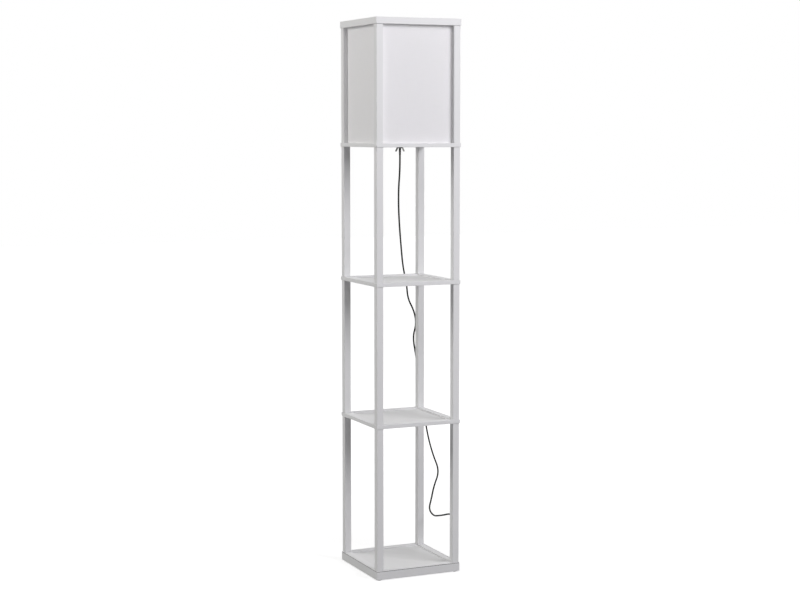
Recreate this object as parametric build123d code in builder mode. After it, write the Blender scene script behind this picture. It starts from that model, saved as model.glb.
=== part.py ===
from build123d import *
import os
from math import cos, dist, radians, sin, tan

os.makedirs("parts", exist_ok=True)

# Shelf floor lamp: a square tower of four post tiers with a base, two shelves, a lamp
# deck and an open top frame.  Millimetres, +Z up, origin on the floor under the
# middle of the base.  -Y is the front, -X the left side.

# ---------------------------------------------------------------- driving dimensions
# Wooden frame
board_side = 264.0
board_overhang = 2.0
post_side = 20.0
post_corner_round = 1.0
post_end_chamfer = 0.9
board_edge_round = 1.0

pad_radius = 8.0
pad_height = 2.0
base_height = 26.0
shelf_thickness = 11.0
lower_bay = 412.0
middle_bay = 395.0
upper_bay = 382.0
lamp_bay = 332.0
top_frame_height = 19.0

# Boards: a frame with a thinner panel let into it from below
panel_thickness = 5.0
panel_recess = 4.0
panel_rabbet = 5.0
panel_clearance = 0.3

# Base box: an apron whose rebated top edge takes the base board.  A fine groove runs round
# its outside under the top bead.
apron_wall = 12.0
apron_lip = 3.0
apron_bead = 1.4
apron_groove_height = 1.2
apron_groove_depth = 1.5
base_board_thickness = 12.0
seam_gap = 1.0

# Studs and screws that join the posts through the boards
stud_radius = 3.0
stud_reach = 25.0
top_stud_reach = 12.0
stud_clearance = 0.1
stud_end_clearance = 0.5
screw_head_radius = 5.5
screw_head_angle = 90.0

# Shade panels, held in grooves
shade_recess = 12.0
shade_thickness = 1.0
shade_engagement = 2.7
shade_side_clearance = 0.2
shade_edge_clearance = 0.3

# Lamp holder
bracket_radius = 18.0
bracket_thickness = 1.2
leg_width = 10.0
leg_spread_top = 7.3
leg_spread_tip = 12.7
leg_bend_drop = 8.5
leg_drop = 20.0
deck_hole_radius = 10.4
neck_radius = 5.0
neck_clearance = 0.2
neck_bore_radius = 2.7
neck_drop = 10.0
holder_foot_radius = 12.0
holder_radius = 20.0
holder_wall = 2.4
holder_cap_height = 22.0
holder_shell_height = 31.0
holder_floor = 3.0
contact_radius = 4.5
contact_height = 3.0

# Bulb
screw_cap_radius = 13.2
screw_cap_height = 24.0
screw_clearance = 0.5
thread_pitch = 3.6
thread_depth = 0.8
bulb_tip_radius = 5.0
bulb_tip_height = 2.6
bulb_seat_gap = 0.3
bulb_neck_radius = 14.5
housing_height = 32.0
globe_radius = 30.0
globe_wall = 1.2

# Supply cord
cord_diameter = 5.0
relief_flange_radius = 6.2
relief_flange_height = 2.0
relief_top_radius = 3.7
relief_end_radius = 2.9
relief_length = 22.0
arc_share = 0.45

# Tied hank behind the base
hank_centre = (58.0, 161.5)
hank_bulge = 37.5
hank_fold_radius = 15.0
hank_waist = 8.0
hank_step = 6.2
hank_waist_step = 7.1
hank_layer_rise = 5.5
hank_turns_in = 1.5
tie_width = 12.0
tie_thickness = 1.0
tie_clearance = 0.2
tie_slack = 0.5
tie_corner_round = 3.0

# In-line switch
switch_centre = (148.0, -6.0)
switch_length = 56.0
switch_width = 18.0
switch_height = 13.0
switch_seam_height = 6.0
switch_wall = 2.0
switch_corner_round = 6.0
switch_edge_round = 2.2
switch_cord_height = 4.5
rocker_width = 9.4
rocker_half_length = 8.3
rocker_end_rise = 5.8
rocker_dip = 1.2
rocker_side_drop = 4.3
rocker_keel = 2.2
rocker_keel_half = 3.0
rocker_clearance = 0.3
rocker_end_clearance = 0.9
rocker_tilt = 7.0
rocker_pivot_height = 8.3
rocker_pin_radius = 1.0
rocker_pin_length = 1.5
rocker_pin_clearance = 0.05
rocker_rib = 1.8
rocker_rib_drop = 2.2
screw_spacing = 40.0
small_screw_radius = 1.3
small_screw_head_radius = 2.6
small_screw_length = 9.0
small_screw_clearance = 0.1
boss_radius = 2.9

# Plug
boot_length = 20.0
boot_radius = 5.0
plug_length = 26.0
plug_width = 25.0
plug_height = 13.8
plug_rear_width = 17.0
plug_rear_height = 11.4
plug_round = 4.0
blade_length = 16.0
blade_width = 6.35
blade_thickness = 1.5
blade_spacing = 12.7
blade_inset = 6.0
blade_hole_radius = 1.5
blade_hole_setback = 4.0

# ---------------------------------------------------------------- levels and places
half_board = board_side / 2
post_centre = half_board - board_overhang - post_side / 2
post_inner = post_centre - post_side / 2
base_top = pad_height + base_height
lower_shelf_bottom = base_top + lower_bay
lower_shelf_top = lower_shelf_bottom + shelf_thickness
upper_shelf_bottom = lower_shelf_top + middle_bay
upper_shelf_top = upper_shelf_bottom + shelf_thickness
deck_bottom = upper_shelf_top + upper_bay
deck_top = deck_bottom + shelf_thickness
top_frame_bottom = deck_top + lamp_bay

corners = {
    "front_left": (-post_centre, -post_centre),
    "front_right": (post_centre, -post_centre),
    "rear_right": (post_centre, post_centre),
    "rear_left": (-post_centre, post_centre),
}
stud_hole_radius = stud_radius + stud_clearance
shade_plane = half_board - board_overhang - shade_recess - shade_thickness / 2
groove_width = shade_thickness + 2 * shade_side_clearance
groove_depth = shade_engagement + shade_edge_clearance
cord_radius = cord_diameter / 2


def save(builder, name):
    """Labels a finished piece and writes it as its own file."""
    builder.part.label = name
    export_step(builder.part, f"parts/{name}.step")


# ---------------------------------------------------------------- frame
def make_frame(name, bottom, thickness, side, rabbet, shade_grooves=(), screw_heads=False):
    """A mitred, glued and painted frame of four rails.  The rabbet takes a panel from below."""
    top = bottom + thickness
    with BuildPart() as frame:
        with BuildSketch(Plane.XY.offset(bottom)):
            Rectangle(side, side)
        extrude(amount=thickness)
        fillet(frame.edges(), board_edge_round)
        with BuildSketch(Plane.XY.offset(bottom)):
            Rectangle(2 * post_inner, 2 * post_inner)
        extrude(amount=thickness, mode=Mode.SUBTRACT)
        if rabbet:
            with BuildSketch(Plane.XY.offset(bottom)):
                Rectangle(2 * (post_inner + panel_rabbet), 2 * (post_inner + panel_rabbet))
            extrude(amount=thickness - panel_recess, mode=Mode.SUBTRACT)
        for level in shade_grooves:
            start = level if level == bottom else level - groove_depth
            with BuildSketch(Plane.XY.offset(start)):
                with PolarLocations(shade_plane, 4):
                    Rectangle(groove_width, 2 * (post_inner + groove_depth))
            extrude(amount=groove_depth, mode=Mode.SUBTRACT)
        if rabbet:
            with Locations(*[(x, y, top) for x, y in corners.values()]):
                Hole(stud_hole_radius)
        else:
            with Locations(*[Location((x, y, bottom), (180, 0, 0)) for x, y in corners.values()]):
                Hole(stud_hole_radius, depth=top_stud_reach + stud_end_clearance)
        if screw_heads:
            with Locations(*[Location((x, y, bottom), (180, 0, 0)) for x, y in corners.values()]):
                CounterSinkHole(stud_hole_radius, screw_head_radius + stud_clearance, screw_head_angle)
    save(frame, name)


def make_panel(name, frame_top, hole_radius=0.0):
    """A thin panel let into a frame from below, its face lower than the frame's."""
    side = 2 * (post_inner + panel_rabbet - panel_clearance)
    face = frame_top - panel_recess
    with BuildPart() as panel:
        with BuildSketch(Plane.XY.offset(face - panel_thickness)):
            Rectangle(side, side)
            if hole_radius:
                Circle(hole_radius, mode=Mode.SUBTRACT)
        extrude(amount=panel_thickness)
    save(panel, name)


def make_post(name, place, bottom, top, grooved):
    """A square post with eased corners, a bevelled seam at each end and a stud hole in each end."""
    x, y = place
    with BuildPart() as post:
        with BuildSketch(Plane.XY.offset(bottom)):
            with Locations(place):
                Rectangle(post_side, post_side)
        extrude(amount=top - bottom)
        fillet(post.edges().filter_by(Axis.Z), post_corner_round)
        chamfer(post.edges().group_by(Axis.Z)[0], post_end_chamfer)
        chamfer(post.edges().group_by(Axis.Z)[-1], post_end_chamfer)
        with Locations(Location((x, y, top)), Location((x, y, bottom), (180, 0, 0))):
            Hole(stud_hole_radius, depth=stud_reach + stud_end_clearance)
        if grooved:
            inward_x = -1 if x > 0 else 1
            inward_y = -1 if y > 0 else 1
            groove_offset = post_side / 2 - groove_depth / 2
            with BuildSketch(Plane.XY.offset(bottom)):
                with Locations((x + inward_x * groove_offset, -inward_y * shade_plane)):
                    Rectangle(groove_depth, groove_width)
                with Locations((-inward_x * shade_plane, y + inward_y * groove_offset)):
                    Rectangle(groove_width, groove_depth)
            extrude(amount=top - bottom, mode=Mode.SUBTRACT)
    save(post, name)


def make_studs(name, levels, reach_below, reach_above):
    """Headless studs that pin the posts above and below each board."""
    with BuildPart() as studs:
        for low, high in levels:
            with BuildSketch(Plane.XY.offset(low - reach_below)):
                with Locations(*corners.values()):
                    Circle(stud_radius)
            extrude(amount=high - low + reach_below + reach_above)
    save(studs, name)


# Base: pads, apron, board frame and panel
for corner, place in corners.items():
    with BuildPart() as pad:
        with BuildSketch():
            with Locations(place):
                Circle(pad_radius)
        extrude(amount=pad_height)
    save(pad, f"foot_pad_{corner}")

rebate_side = board_side - 2 * apron_lip
with BuildPart() as base_apron:
    with BuildSketch(Plane.XY.offset(pad_height)):
        Rectangle(board_side, board_side)
    extrude(amount=base_height)
    fillet(base_apron.edges(), board_edge_round)
    with BuildSketch(Plane.XY.offset(pad_height)):
        Rectangle(board_side - 2 * apron_wall, board_side - 2 * apron_wall)
    extrude(amount=base_height, mode=Mode.SUBTRACT)
    with BuildSketch(Plane.XY.offset(base_top - base_board_thickness)):
        Rectangle(rebate_side, rebate_side)
    extrude(amount=base_board_thickness, mode=Mode.SUBTRACT)
    with BuildSketch(Plane.XY.offset(base_top - apron_bead - apron_groove_height)):
        Rectangle(board_side, board_side)
        Rectangle(
            board_side - 2 * apron_groove_depth, board_side - 2 * apron_groove_depth, mode=Mode.SUBTRACT
        )
    extrude(amount=apron_groove_height, mode=Mode.SUBTRACT)
save(base_apron, "base_apron")

make_frame(
    "base_board_frame",
    base_top - base_board_thickness,
    base_board_thickness,
    rebate_side - 2 * seam_gap,
    rabbet=True,
    screw_heads=True,
)
make_panel("base_board_panel", base_top)

# Two shelves and the lamp deck
make_frame("lower_shelf_frame", lower_shelf_bottom, shelf_thickness, board_side, rabbet=True)
make_panel("lower_shelf_panel", lower_shelf_top)
make_frame("upper_shelf_frame", upper_shelf_bottom, shelf_thickness, board_side, rabbet=True)
make_panel("upper_shelf_panel", upper_shelf_top)
make_frame(
    "lamp_deck_frame", deck_bottom, shelf_thickness, board_side, rabbet=True, shade_grooves=[deck_top]
)
make_panel("lamp_deck_panel", deck_top, deck_hole_radius)

# Open top frame, its bottom edge grooved for the shade panels
make_frame(
    "top_frame",
    top_frame_bottom,
    top_frame_height,
    board_side,
    rabbet=False,
    shade_grooves=[top_frame_bottom],
)

# Four tiers of posts
tiers = [
    ("lower", base_top, lower_shelf_bottom, False),
    ("middle", lower_shelf_top, upper_shelf_bottom, False),
    ("upper", upper_shelf_top, deck_bottom, False),
    ("lamp", deck_top, top_frame_bottom, True),
]
for tier, low, high, grooved in tiers:
    for corner, place in corners.items():
        make_post(f"{tier}_post_{corner}", place, low, high, grooved)

# Studs through the boards, studs into the top frame and screws up through the base board
make_studs(
    "tier_studs",
    [
        (lower_shelf_bottom, lower_shelf_top),
        (upper_shelf_bottom, upper_shelf_top),
        (deck_bottom, deck_top),
    ],
    stud_reach,
    stud_reach,
)
make_studs("top_studs", [(top_frame_bottom, top_frame_bottom)], stud_reach, top_stud_reach)

head_height = (screw_head_radius - stud_radius) / tan(radians(screw_head_angle / 2))
screw_bottom = base_top - base_board_thickness
with BuildPart() as base_screws:
    with BuildSketch(Plane.XY.offset(screw_bottom)):
        with Locations(*corners.values()):
            Circle(stud_radius)
    extrude(amount=base_board_thickness + stud_reach)
    with Locations(*[(x, y, screw_bottom + head_height / 2) for x, y in corners.values()]):
        Cone(screw_head_radius, stud_radius, head_height)
save(base_screws, "base_screws")

# ---------------------------------------------------------------- shade panels
shade_width = 2 * (post_inner + shade_engagement)
shade_sides = {
    "front": (0, -shade_plane, shade_width, shade_thickness),
    "right": (shade_plane, 0, shade_thickness, shade_width),
    "rear": (0, shade_plane, shade_width, shade_thickness),
    "left": (-shade_plane, 0, shade_thickness, shade_width),
}
for side_name, (x, y, wide, deep) in shade_sides.items():
    with BuildPart() as shade_panel:
        with BuildSketch(Plane.XY.offset(deck_top - shade_engagement)):
            with Locations((x, y)):
                Rectangle(wide, deep)
        extrude(amount=lamp_bay + 2 * shade_engagement)
    save(shade_panel, f"shade_panel_{side_name}")

# ---------------------------------------------------------------- lamp holder
deck_face = deck_top - panel_recess
holder_seat = deck_face + bracket_thickness
leg_bend = deck_face - leg_bend_drop
leg_tip = deck_face - leg_drop
leg_half = bracket_thickness / 2

# Spring bracket: a disc on the deck with two legs bent down through the hole and splayed below
with BuildPart() as bracket:
    with BuildSketch(Plane.XY.offset(deck_face)):
        Circle(bracket_radius)
        Circle(neck_radius + neck_clearance, mode=Mode.SUBTRACT)
    extrude(amount=bracket_thickness)
    with BuildSketch(Plane.XZ):
        for mirror_side in (1, -1):
            with BuildLine() as leg_line:
                Polyline(
                    (mirror_side * leg_spread_top, deck_face + leg_half),
                    (mirror_side * leg_spread_top, leg_bend),
                    (mirror_side * leg_spread_tip, leg_tip),
                )
                offset(amount=leg_half, side=Side.BOTH)
            make_face()
    extrude(amount=leg_width / 2, both=True)
save(bracket, "holder_spring_bracket")

# Holder cap: a domed cup whose hollow neck passes down through the bracket
cap_top = holder_seat + holder_cap_height
with BuildPart() as holder_cap:
    with BuildSketch(Plane.XZ):
        with BuildLine():
            Polyline(
                (neck_bore_radius, holder_seat - neck_drop),
                (neck_radius, holder_seat - neck_drop),
                (neck_radius, holder_seat),
                (holder_foot_radius, holder_seat),
            )
            RadiusArc(
                (holder_foot_radius, holder_seat),
                (holder_radius, holder_seat + holder_foot_radius),
                -holder_foot_radius * 1.3,
            )
            Polyline(
                (holder_radius, holder_seat + holder_foot_radius),
                (holder_radius, cap_top),
                (holder_radius - holder_wall, cap_top),
                (holder_radius - holder_wall, holder_seat + holder_foot_radius),
                (holder_foot_radius - holder_wall, holder_seat + holder_wall),
                (neck_bore_radius, holder_seat + holder_wall),
                (neck_bore_radius, holder_seat - neck_drop),
            )
        make_face()
    revolve(axis=Axis.Z)
save(holder_cap, "lampholder_cap")

# Holder shell: the socket that the bulb screws into
shell_top = cap_top + holder_shell_height
socket_radius = screw_cap_radius + screw_clearance
socket_floor = cap_top + holder_floor
with BuildPart() as holder_shell:
    with BuildSketch(Plane.XZ):
        with BuildLine():
            Polyline(
                (0, cap_top),
                (holder_radius, cap_top),
                (holder_radius, cap_top + holder_wall),
                (holder_radius - holder_wall / 2, cap_top + 2 * holder_wall),
                (holder_radius - holder_wall, shell_top),
                (socket_radius, shell_top),
                (socket_radius, socket_floor),
                (0, socket_floor),
                (0, cap_top),
            )
        make_face()
    revolve(axis=Axis.Z)
    fillet(holder_shell.edges().group_by(Axis.Z)[-1], holder_wall / 4)
save(holder_shell, "lampholder_shell")

# Centre contact, a low sprung dome on the socket's floor
with BuildPart() as contact:
    with BuildSketch(Plane.XY.offset(socket_floor)):
        Circle(contact_radius)
    extrude(amount=contact_height)
    fillet(contact.edges().group_by(Axis.Z)[-1], contact_height / 2)
save(contact, "lampholder_contact")

# ---------------------------------------------------------------- bulb
tip_bottom = socket_floor + contact_height + bulb_seat_gap
screw_cap_bottom = tip_bottom + bulb_tip_height
screw_cap_top = screw_cap_bottom + screw_cap_height
housing_top = screw_cap_top + housing_height
tip_waist = bulb_tip_radius + thread_depth

with BuildPart() as bulb_tip:
    with Locations((0, 0, tip_bottom + bulb_tip_height / 2)):
        Cone(bulb_tip_radius, tip_waist, bulb_tip_height)
save(bulb_tip, "bulb_tip")

# Screw cap with round threads, drawn as a row of ridges
root_radius = screw_cap_radius - thread_depth
ridge_count = int((screw_cap_height - thread_pitch) / thread_pitch)
ridge_start = screw_cap_bottom + thread_pitch
with BuildPart() as screw_cap:
    with BuildSketch(Plane.XZ):
        with BuildLine():
            Polyline(
                (0, screw_cap_bottom),
                (tip_waist, screw_cap_bottom),
                (root_radius, ridge_start),
            )
            for ridge in range(ridge_count):
                low = ridge_start + ridge * thread_pitch
                ThreePointArc(
                    (root_radius, low),
                    (screw_cap_radius, low + thread_pitch / 2),
                    (root_radius, low + thread_pitch),
                )
            Polyline(
                (root_radius, ridge_start + ridge_count * thread_pitch),
                (root_radius, screw_cap_top),
                (0, screw_cap_top),
                (0, screw_cap_bottom),
            )
        make_face()
    revolve(axis=Axis.Z)
save(screw_cap, "bulb_screw_cap")

with BuildPart() as housing:
    with BuildSketch(Plane.XZ):
        with BuildLine():
            Line((0, screw_cap_top), (bulb_neck_radius, screw_cap_top))
            Spline(
                (bulb_neck_radius, screw_cap_top),
                (globe_radius, housing_top),
                tangents=[(0, 1), (0.35, 1)],
            )
            Polyline((globe_radius, housing_top), (0, housing_top), (0, screw_cap_top))
        make_face()
    revolve(axis=Axis.Z)
save(housing, "bulb_housing")

inner_globe = globe_radius - globe_wall
with BuildPart() as globe:
    with BuildSketch(Plane.XZ):
        with BuildLine():
            ThreePointArc(
                (globe_radius, housing_top),
                (globe_radius * cos(radians(45)), housing_top + globe_radius * sin(radians(45))),
                (0, housing_top + globe_radius),
            )
            Line((0, housing_top + globe_radius), (0, housing_top + inner_globe))
            ThreePointArc(
                (0, housing_top + inner_globe),
                (inner_globe * cos(radians(45)), housing_top + inner_globe * sin(radians(45))),
                (inner_globe, housing_top),
            )
            Line((inner_globe, housing_top), (globe_radius, housing_top))
        make_face()
    revolve(axis=Axis.Z)
save(globe, "bulb_globe")

# ---------------------------------------------------------------- supply cord
relief_top = holder_seat - neck_drop
relief_end = relief_top - relief_length
with BuildPart() as relief:
    with BuildSketch(Plane.XZ):
        with BuildLine():
            Polyline(
                (0, relief_top),
                (relief_flange_radius, relief_top),
                (relief_flange_radius, relief_top - relief_flange_height),
                (relief_top_radius, relief_top - relief_flange_height),
                (relief_end_radius, relief_end),
                (0, relief_end),
                (0, relief_top),
            )
        make_face()
    revolve(axis=Axis.Z)
save(relief, "cord_relief")


def corner_radii(points):
    """The arc at each corner: as large as its two runs allow."""
    radii = []
    for before, here, after in zip(points, points[1:], points[2:]):
        arriving = Vector(here) - Vector(before)
        leaving = Vector(after) - Vector(here)
        half_turn = radians(arriving.get_angle(leaving)) / 2
        radii.append(arc_share * min(arriving.length, leaving.length) / tan(half_turn))
    return radii


def make_cord(name, points):
    """A free stretch of cord: straight runs joined by tangent arcs, swept as a round tube."""
    radii = corner_radii(points)
    with BuildPart() as cord:
        with BuildLine() as path:
            FilletPolyline(*points, radius=radii)
        wire = path.wires()[0]
        with BuildSketch(Plane(origin=wire @ 0, z_dir=wire % 0)) as section:
            Circle(cord_radius)
        sweep(path=wire)
    length = wire.length
    share = cord.part.volume / (section.sketch.area * length)
    print(f"{name}: length {length:.0f}, least radius {min(radii):.1f}, volume share {share:.4f}")
    print("  radii", [round(radius) for radius in radii])
    save(cord, name)


# From the holder it drops through the top bay, passes behind the upper shelf and down
# behind the rear right post, leans out past the lower shelf, loops forward beside the
# base bay and comes down to the switch.
switch_x, switch_y = switch_centre
upper_route = [
    (0, 0, relief_end),
    (0, 0, 1190),
    (3, 9, 1158),
    (7, 25, 1118),
    (19, 52, 1060),
    (36, 82, 998),
    (55, 112, 934),
    (74, 142, 878),
    (89, 147, 822),
    (92, 146, 780),
    (113, 146, 742),
    (121, 146, 703),
    (108, 145, 662),
    (119, 145, 606),
    (128, 146, 544),
    (136, 145, 478),
    (149, 145, 411),
    (160, 144, 350),
    (175, 140, 294),
    (194, 134, 244),
    (170, 124, 200),
    (156, 112, 164),
    (143, 103, 136),
    (147, 78, 120),
    (146, 38, 129),
    (146, -2, 140),
    (147, -40, 152),
    (148, -76, 148),
    (148, -90, 114),
    (148, -91, 78),
    (148, -90, 46),
    (148, -80, 22),
    (148, -60, 7),
    (switch_x, -47, switch_cord_height),
    (switch_x, switch_y - switch_length / 2, switch_cord_height),
]
make_cord("cord_upper", upper_route)

# The hank: a racetrack drawn in at its waist, wound in on one layer and out on the next
hank_x, hank_y = hank_centre
hank_floor = tie_thickness + tie_clearance + cord_radius
nodes_per_turn = 8
nodes_in = round(hank_turns_in * nodes_per_turn)
climb_nodes = 2
last_node = 2 * nodes_in + climb_nodes
climb_slope = 1.5 * (hank_layer_rise / 2) / hank_bulge


def hank_node(index):
    """Where the hank's centre line is at a node, and which way it runs there."""
    if index <= nodes_in:
        turns_out = (nodes_in - index) / nodes_per_turn
        height = hank_floor
    elif index < nodes_in + climb_nodes:
        turns_out = 0
        height = hank_floor + hank_layer_rise / 2
    else:
        turns_out = (index - nodes_in - climb_nodes) / nodes_per_turn
        height = hank_floor + hank_layer_rise
    fold = hank_fold_radius + turns_out * hank_step
    waist = hank_waist + turns_out * hank_waist_step
    places = [
        ((hank_bulge, fold), (-1, 0)),
        ((0, waist), (-1, 0)),
        ((-hank_bulge, fold), (-1, 0)),
        ((-hank_bulge - fold, 0), (0, -1)),
        ((-hank_bulge, -fold), (1, 0)),
        ((0, -waist), (1, 0)),
        ((hank_bulge, -fold), (1, 0)),
        ((hank_bulge + fold, 0), (0, 1)),
    ]
    (x, y), (along_x, along_y) = places[index % nodes_per_turn]
    slope = climb_slope if nodes_in < index < nodes_in + climb_nodes else 0
    return Vector(hank_x + x, hank_y + y, height), Vector(along_x, along_y, slope).normalized()


def biarc_middle(start, start_way, end, end_way):
    """Where two equal-reach arcs between two directed points meet, and which way they run there."""
    span = end - start
    both = start_way + end_way
    spread = 2 * (1 - start_way.dot(end_way))
    across = span.dot(both)
    if spread < 1e-9:
        reach = span.dot(span) / (2 * across)
    else:
        reach = ((across * across + spread * span.dot(span)) ** 0.5 - across) / spread
    middle = (start + end + (start_way - end_way) * reach) / 2
    return middle, (end - end_way * reach - start - start_way * reach).normalized()


def least_gap(line, thickness, samples=900, apart=30.0):
    """The least distance between two stretches of one tube's skin."""
    spots = [tuple(line.position_at(step / samples)) for step in range(samples + 1)]
    skip = round(apart / (line.length / samples))
    nearest = min(
        dist(spot, other) for index, spot in enumerate(spots) for other in spots[index + skip :]
    )
    return nearest - thickness


with BuildPart() as hank:
    with BuildLine() as hank_path:
        first, first_way = hank_node(0)
        Line(first - first_way * cord_diameter, first)
        for node in range(last_node):
            here, here_way = hank_node(node)
            there, there_way = hank_node(node + 1)
            middle, middle_way = biarc_middle(here, here_way, there, there_way)
            TangentArc(here, middle, tangent=here_way)
            TangentArc(middle, there, tangent=middle_way)
        last, last_way = hank_node(last_node)
        Line(last, last + last_way * cord_diameter)
    hank_wire = hank_path.wires()[0]
    with BuildSketch(Plane(origin=hank_wire @ 0, z_dir=hank_wire % 0)) as hank_section:
        Circle(cord_radius)
    sweep(path=hank_wire)
hank_share = hank.part.volume / (hank_section.sketch.area * hank_wire.length)
print(f"cord_hank: length {hank_wire.length:.0f}, volume share {hank_share:.4f}")
print(f"cord_hank: least gap to itself {least_gap(hank_wire, cord_diameter):.2f}")
save(hank, "cord_hank")

hank_start = first - first_way * cord_diameter
hank_end = last + last_way * cord_diameter

# Tie: a flat strap drawn round the hank's waist
waist_runs = [hank_node(node)[0].Y for node in range(1, last_node, nodes_per_turn // 2)]
tie_far = max(waist_runs) + cord_radius + tie_slack
tie_near = min(waist_runs) - cord_radius - tie_slack
tie_bottom = tie_thickness
tie_top = hank_floor + hank_layer_rise + cord_radius + tie_clearance
with BuildPart() as tie:
    with BuildSketch(Plane.YZ.offset(hank_x - tie_width / 2)):
        with Locations(((tie_near + tie_far) / 2, (tie_bottom + tie_top) / 2)):
            RectangleRounded(
                tie_far - tie_near + 2 * tie_thickness,
                tie_top - tie_bottom + 2 * tie_thickness,
                tie_corner_round + tie_thickness,
            )
            RectangleRounded(tie_far - tie_near, tie_top - tie_bottom, tie_corner_round, mode=Mode.SUBTRACT)
    extrude(amount=tie_width)
save(tie, "hank_tie")

# From the switch round the rear right corner to the hank, and from the hank to the plug
plug_axis_height = plug_height / 2
lower_route = [
    (switch_x, switch_y + switch_length / 2, switch_cord_height),
    (148, 44, switch_cord_height),
    (149, 88, 2.8),
    (149, 140, 2.6),
    (145, 166, 2.8),
    (124, hank_start.Y, hank_start.Z),
    tuple(hank_start),
]
make_cord("cord_lower", lower_route)

tail_route = [
    tuple(hank_end),
    (-6, hank_end.Y, hank_end.Z),
    (-32, 164, plug_axis_height),
    (-53, 164, plug_axis_height),
]
make_cord("cord_tail", tail_route)

# ---------------------------------------------------------------- in-line switch
seam = switch_seam_height
opening_width = rocker_width + 2 * rocker_clearance
opening_length = 2 * (rocker_half_length + rocker_end_clearance)
screw_places = [(switch_x, switch_y + way * screw_spacing / 2) for way in (1, -1)]
inner_width = switch_width - 2 * switch_wall
inner_length = switch_length - 2 * switch_wall
inner_round = switch_corner_round - switch_wall

with BuildPart() as lower_case:
    with BuildSketch():
        with Locations(switch_centre):
            RectangleRounded(switch_width, switch_length, switch_corner_round)
    extrude(amount=seam)
    with BuildSketch(Plane.XY.offset(switch_wall)):
        with Locations(switch_centre):
            RectangleRounded(inner_width, inner_length, inner_round)
    extrude(amount=seam - switch_wall, mode=Mode.SUBTRACT)
    with BuildSketch():
        with Locations(*screw_places):
            Circle(boss_radius)
    extrude(amount=seam)
    with Locations(*[Location((x, y, 0), (180, 0, 0)) for x, y in screw_places]):
        CounterSinkHole(
            small_screw_radius + small_screw_clearance,
            small_screw_head_radius + small_screw_clearance,
            screw_head_angle,
        )
save(lower_case, "switch_lower_case")

rib_outer = inner_width / 2
rib_inner = opening_width / 2
pivot = Plane(
    origin=(switch_x - opening_width, switch_y, rocker_pivot_height), x_dir=(0, 1, 0), z_dir=(1, 0, 0)
)
with BuildPart() as upper_case:
    with BuildSketch(Plane.XY.offset(seam)):
        with Locations(switch_centre):
            RectangleRounded(switch_width, switch_length, switch_corner_round)
    extrude(amount=switch_height - seam)
    fillet(upper_case.edges().group_by(Axis.Z)[-1], switch_edge_round)
    with BuildSketch(Plane.XY.offset(seam)):
        with Locations(switch_centre):
            RectangleRounded(inner_width, inner_length, inner_round)
    extrude(amount=switch_height - seam - switch_wall, mode=Mode.SUBTRACT)
    with BuildSketch(Plane.XY.offset(rocker_pivot_height - rocker_rib_drop)):
        for way in (1, -1):
            with Locations((switch_x + way * (rib_inner + rib_outer) / 2, switch_y)):
                Rectangle(rib_outer - rib_inner, 2 * rocker_half_length)
    extrude(amount=switch_height - switch_wall - rocker_pivot_height + rocker_rib_drop)
    with BuildSketch(Plane.XY.offset(seam)):
        with Locations(*screw_places):
            Circle(boss_radius)
    extrude(amount=switch_height - switch_wall - seam)
    with BuildSketch(Plane.XY.offset(switch_height - switch_wall)):
        with Locations(switch_centre):
            Rectangle(opening_width, opening_length)
    extrude(amount=switch_wall, mode=Mode.SUBTRACT)
    with BuildSketch(pivot):
        Circle(rocker_pin_radius + rocker_pin_clearance)
    extrude(amount=2 * opening_width, mode=Mode.SUBTRACT)
    with Locations(*[Location((x, y, seam), (180, 0, 0)) for x, y in screw_places]):
        Hole(small_screw_radius + small_screw_clearance, depth=small_screw_length - seam + stud_end_clearance)
save(upper_case, "switch_upper_case")

# Rocker, at rest pressed down at its rear end
rocker_plane = Plane(
    origin=(switch_x - rocker_width / 2, switch_y, rocker_pivot_height),
    x_dir=(0, cos(radians(rocker_tilt)), -sin(radians(rocker_tilt))),
    z_dir=(1, 0, 0),
)
pin_plane = rocker_plane.offset(-rocker_pin_length)
with BuildPart() as rocker:
    with BuildSketch(rocker_plane):
        with BuildLine():
            Polyline(
                (-rocker_half_length, rocker_end_rise),
                (0, rocker_end_rise - rocker_dip),
                (rocker_half_length, rocker_end_rise),
                (rocker_half_length, rocker_end_rise - rocker_side_drop),
                (rocker_keel_half, -rocker_keel),
                (-rocker_keel_half, -rocker_keel),
                (-rocker_half_length, rocker_end_rise - rocker_side_drop),
                (-rocker_half_length, rocker_end_rise),
            )
        make_face()
    extrude(amount=rocker_width)
    with BuildSketch(pin_plane):
        Circle(rocker_pin_radius)
    extrude(amount=rocker_width + 2 * rocker_pin_length)
save(rocker, "switch_rocker")

small_head_height = (small_screw_head_radius - small_screw_radius) / tan(radians(screw_head_angle / 2))
with BuildPart() as case_screws:
    with BuildSketch():
        with Locations(*screw_places):
            Circle(small_screw_radius)
    extrude(amount=small_screw_length)
    with Locations(*[(x, y, small_head_height / 2) for x, y in screw_places]):
        Cone(small_screw_head_radius, small_screw_radius, small_head_height)
save(case_screws, "switch_screws")

# ---------------------------------------------------------------- plug
boot_end_x, plug_y, plug_z = tail_route[-1]
plug_rear_x = boot_end_x - boot_length
plug_front_x = plug_rear_x - plug_length
with BuildPart() as boot:
    with BuildSketch(Plane(origin=(boot_end_x, plug_y, plug_z), z_dir=(-1, 0, 0))):
        Circle(relief_end_radius)
    with BuildSketch(Plane(origin=(plug_rear_x, plug_y, plug_z), z_dir=(-1, 0, 0))):
        Circle(boot_radius)
    loft()
save(boot, "plug_boot")

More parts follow.
